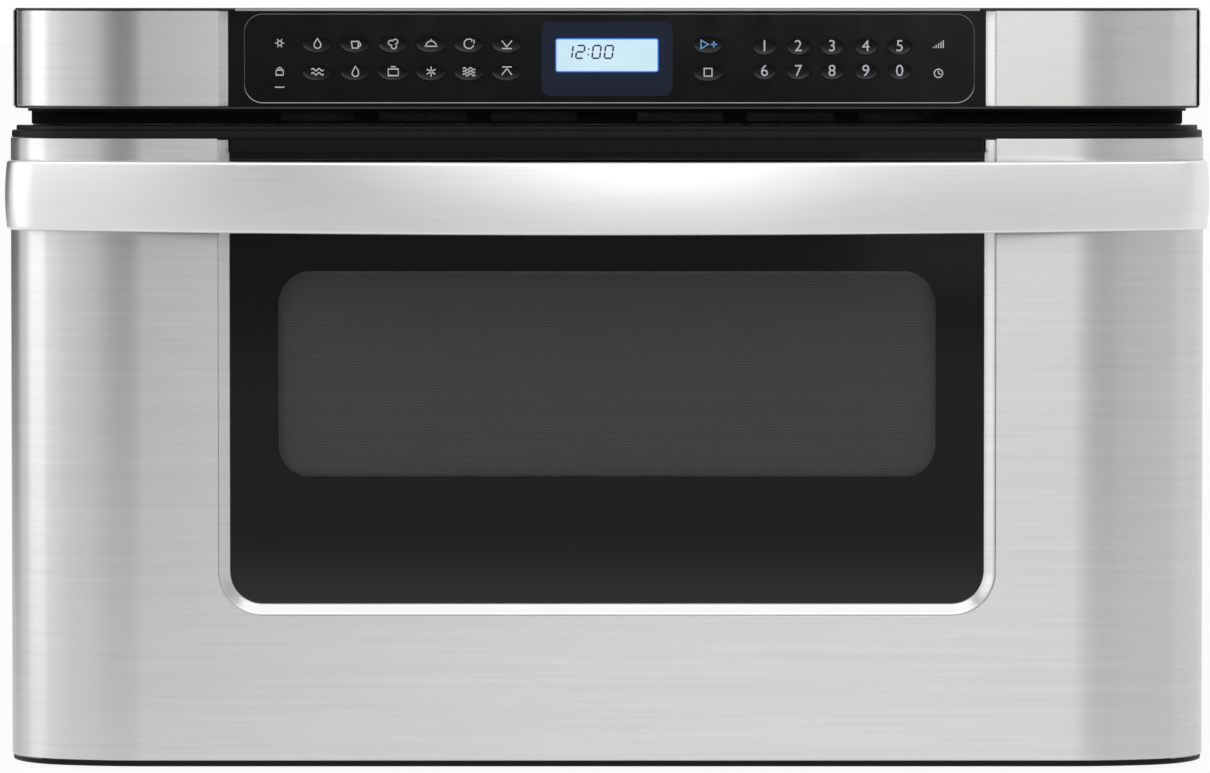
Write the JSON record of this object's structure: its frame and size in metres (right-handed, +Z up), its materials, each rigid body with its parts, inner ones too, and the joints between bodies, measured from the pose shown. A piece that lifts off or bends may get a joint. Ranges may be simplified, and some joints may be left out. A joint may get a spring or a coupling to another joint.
{
  "type": "microwave drawer",
  "caption": "Built-in microwave drawer: bowed steel front with a bevelled window and full-width handle, key panel above, tub on telescopic slides, rack drive.",
  "frame": {"origin": "middle of the overall box, on the surface that the chassis feet stand on", "axes": "+X to the right seen from the front, +Y from the front to the back, +Z up"},
  "size_m": [0.6104, 0.642, 0.3842],
  "materials": {
    "brushed_stainless": "horizontal brushed grain",
    "satin_aluminium": "satin anodised",
    "smoked_glass": "smoked, gloss",
    "zinc_steel": "zinc-plated sheet",
    "black_screen": "perforated sheet, black enamel",
    "black_moulding": "fine moulded grain",
    "gloss_black": "gloss",
    "display_blue": "gloss, dark blue",
    "circuit_board": "solder mask",
    "grey_enamel": "baked enamel",
    "mica_cover": "smooth",
    "aluminium": "pressed",
    "iron_core": "varnished laminations",
    "grey_moulding": "moulded",
    "switch_red": "moulded",
    "opal_ceramic": "opal, gloss",
    "white_acetal": "moulded, waxy"
  },
  "bodies": {
    "chassis": {"panel_trims": "brushed_stainless", "control_housing": "black_moulding", "vent_louvre": "black_moulding", "panel_face": "gloss_black", "display_window": "display_blue", "control_board": "circuit_board", "front_flange": "zinc_steel", "base_pan": "zinc_steel", "outer_wrap": "zinc_steel", "rear_panel": "zinc_steel", "cord_gland": "black_moulding", "oven_cavity": "grey_enamel", "stirrer_cover": "mica_cover", "stirrer_motor": "zinc_steel", "magnetron": "aluminium", "transformer": "iron_core", "fan_shroud": "black_moulding", "interlock_switches": "switch_red", "outer_rails": "zinc_steel", "drawer_motor": "iron_core"},
    "drawer": {"door_skin": "brushed_stainless", "door_glass": "smoked_glass", "door_frame": "zinc_steel", "door_screen": "black_screen", "door_liner": "black_moulding", "door_top_cap": "black_moulding", "door_bottom_lip": "black_moulding", "handle": "satin_aluminium", "drawer_tub": "grey_moulding", "floor_plate": "opal_ceramic", "drive_rack": "white_acetal", "inner_rails": "zinc_steel"},
    "slide_middles": {"middle_rails": "zinc_steel"},
    "pinion": {"drive_pinion": "white_acetal"},
    "stirrer": {"stirrer": "aluminium"},
    "fan": {"cooling_fan": "grey_moulding"},
    "program_key_1_body": {"program_key_1": "gloss_black"},
    "program_key_2_body": {"program_key_2": "gloss_black"},
    "program_key_3_body": {"program_key_3": "gloss_black"},
    "program_key_4_body": {"program_key_4": "gloss_black"},
    "program_key_5_body": {"program_key_5": "gloss_black"},
    "program_key_6_body": {"program_key_6": "gloss_black"},
    "program_key_7_body": {"program_key_7": "gloss_black"},
    "program_key_8_body": {"program_key_8": "gloss_black"},
    "program_key_9_body": {"program_key_9": "gloss_black"},
    "program_key_10_body": {"program_key_10": "gloss_black"},
    "program_key_11_body": {"program_key_11": "gloss_black"},
    "program_key_12_body": {"program_key_12": "gloss_black"},
    "start_key_body": {"start_key": "gloss_black"},
    "stop_key_body": {"stop_key": "gloss_black"},
    "number_key_0_body": {"number_key_0": "gloss_black"},
    "number_key_1_body": {"number_key_1": "gloss_black"},
    "number_key_2_body": {"number_key_2": "gloss_black"},
    "number_key_3_body": {"number_key_3": "gloss_black"},
    "number_key_4_body": {"number_key_4": "gloss_black"},
    "number_key_5_body": {"number_key_5": "gloss_black"},
    "number_key_6_body": {"number_key_6": "gloss_black"},
    "number_key_7_body": {"number_key_7": "gloss_black"},
    "number_key_8_body": {"number_key_8": "gloss_black"},
    "number_key_9_body": {"number_key_9": "gloss_black"}
  },
  "joints": [
    {"name": "drawer_slide", "type": "slide", "parent": "chassis", "child": "drawer", "axis": [0, -1, 0], "range_m": [0, 0.38]},
    {"name": "middle_slide", "type": "slide", "parent": "chassis", "child": "slide_middles", "axis": [0, -1, 0], "range_m": [0, 0.19]},
    {"name": "pinion_turn", "type": "hinge", "parent": "chassis", "child": "pinion", "pos_m": [0, -0.217, 0.022], "axis": [1, 0, 0], "range_deg": [0, 1815]},
    {"name": "stirrer_turn", "type": "hinge", "parent": "chassis", "child": "stirrer", "pos_m": [0, -0.0265, 0.271], "axis": [0, 0, 1], "continuous": true},
    {"name": "fan_turn", "type": "hinge", "parent": "chassis", "child": "fan", "pos_m": [-0.17, 0.275, 0.2], "axis": [0, 1, 0], "continuous": true},
    {"name": "program_key_1_press", "type": "slide", "parent": "chassis", "child": "program_key_1_body", "axis": [0, 1, 0], "range_m": [0, 0.0005], "stiffness_N_per_m": 4500},
    {"name": "program_key_2_press", "type": "slide", "parent": "chassis", "child": "program_key_2_body", "axis": [0, 1, 0], "range_m": [0, 0.0005], "stiffness_N_per_m": 4500},
    {"name": "program_key_3_press", "type": "slide", "parent": "chassis", "child": "program_key_3_body", "axis": [0, 1, 0], "range_m": [0, 0.0005], "stiffness_N_per_m": 4500},
    {"name": "program_key_4_press", "type": "slide", "parent": "chassis", "child": "program_key_4_body", "axis": [0, 1, 0], "range_m": [0, 0.0005], "stiffness_N_per_m": 4500},
    {"name": "program_key_5_press", "type": "slide", "parent": "chassis", "child": "program_key_5_body", "axis": [0, 1, 0], "range_m": [0, 0.0005], "stiffness_N_per_m": 4500},
    {"name": "program_key_6_press", "type": "slide", "parent": "chassis", "child": "program_key_6_body", "axis": [0, 1, 0], "range_m": [0, 0.0005], "stiffness_N_per_m": 4500},
    {"name": "program_key_7_press", "type": "slide", "parent": "chassis", "child": "program_key_7_body", "axis": [0, 1, 0], "range_m": [0, 0.0005], "stiffness_N_per_m": 4500},
    {"name": "program_key_8_press", "type": "slide", "parent": "chassis", "child": "program_key_8_body", "axis": [0, 1, 0], "range_m": [0, 0.0005], "stiffness_N_per_m": 4500},
    {"name": "program_key_9_press", "type": "slide", "parent": "chassis", "child": "program_key_9_body", "axis": [0, 1, 0], "range_m": [0, 0.0005], "stiffness_N_per_m": 4500},
    {"name": "program_key_10_press", "type": "slide", "parent": "chassis", "child": "program_key_10_body", "axis": [0, 1, 0], "range_m": [0, 0.0005], "stiffness_N_per_m": 4500},
    {"name": "program_key_11_press", "type": "slide", "parent": "chassis", "child": "program_key_11_body", "axis": [0, 1, 0], "range_m": [0, 0.0005], "stiffness_N_per_m": 4500},
    {"name": "program_key_12_press", "type": "slide", "parent": "chassis", "child": "program_key_12_body", "axis": [0, 1, 0], "range_m": [0, 0.0005], "stiffness_N_per_m": 4500},
    {"name": "start_key_press", "type": "slide", "parent": "chassis", "child": "start_key_body", "axis": [0, 1, 0], "range_m": [0, 0.0005], "stiffness_N_per_m": 4500},
    {"name": "stop_key_press", "type": "slide", "parent": "chassis", "child": "stop_key_body", "axis": [0, 1, 0], "range_m": [0, 0.0005], "stiffness_N_per_m": 4500},
    {"name": "number_key_0_press", "type": "slide", "parent": "chassis", "child": "number_key_0_body", "axis": [0, 1, 0], "range_m": [0, 0.0005], "stiffness_N_per_m": 4500},
    {"name": "number_key_1_press", "type": "slide", "parent": "chassis", "child": "number_key_1_body", "axis": [0, 1, 0], "range_m": [0, 0.0005], "stiffness_N_per_m": 4500},
    {"name": "number_key_2_press", "type": "slide", "parent": "chassis", "child": "number_key_2_body", "axis": [0, 1, 0], "range_m": [0, 0.0005], "stiffness_N_per_m": 4500},
    {"name": "number_key_3_press", "type": "slide", "parent": "chassis", "child": "number_key_3_body", "axis": [0, 1, 0], "range_m": [0, 0.0005], "stiffness_N_per_m": 4500},
    {"name": "number_key_4_press", "type": "slide", "parent": "chassis", "child": "number_key_4_body", "axis": [0, 1, 0], "range_m": [0, 0.0005], "stiffness_N_per_m": 4500},
    {"name": "number_key_5_press", "type": "slide", "parent": "chassis", "child": "number_key_5_body", "axis": [0, 1, 0], "range_m": [0, 0.0005], "stiffness_N_per_m": 4500},
    {"name": "number_key_6_press", "type": "slide", "parent": "chassis", "child": "number_key_6_body", "axis": [0, 1, 0], "range_m": [0, 0.0005], "stiffness_N_per_m": 4500},
    {"name": "number_key_7_press", "type": "slide", "parent": "chassis", "child": "number_key_7_body", "axis": [0, 1, 0], "range_m": [0, 0.0005], "stiffness_N_per_m": 4500},
    {"name": "number_key_8_press", "type": "slide", "parent": "chassis", "child": "number_key_8_body", "axis": [0, 1, 0], "range_m": [0, 0.0005], "stiffness_N_per_m": 4500},
    {"name": "number_key_9_press", "type": "slide", "parent": "chassis", "child": "number_key_9_body", "axis": [0, 1, 0], "range_m": [0, 0.0005], "stiffness_N_per_m": 4500}
  ],
  "couplings": [
    {"joint": "middle_slide", "follows": "drawer_slide", "ratio": 0.5},
    {"joint": "pinion_turn", "follows": "drawer_slide", "rad_per_m": 83.333}
  ]
}
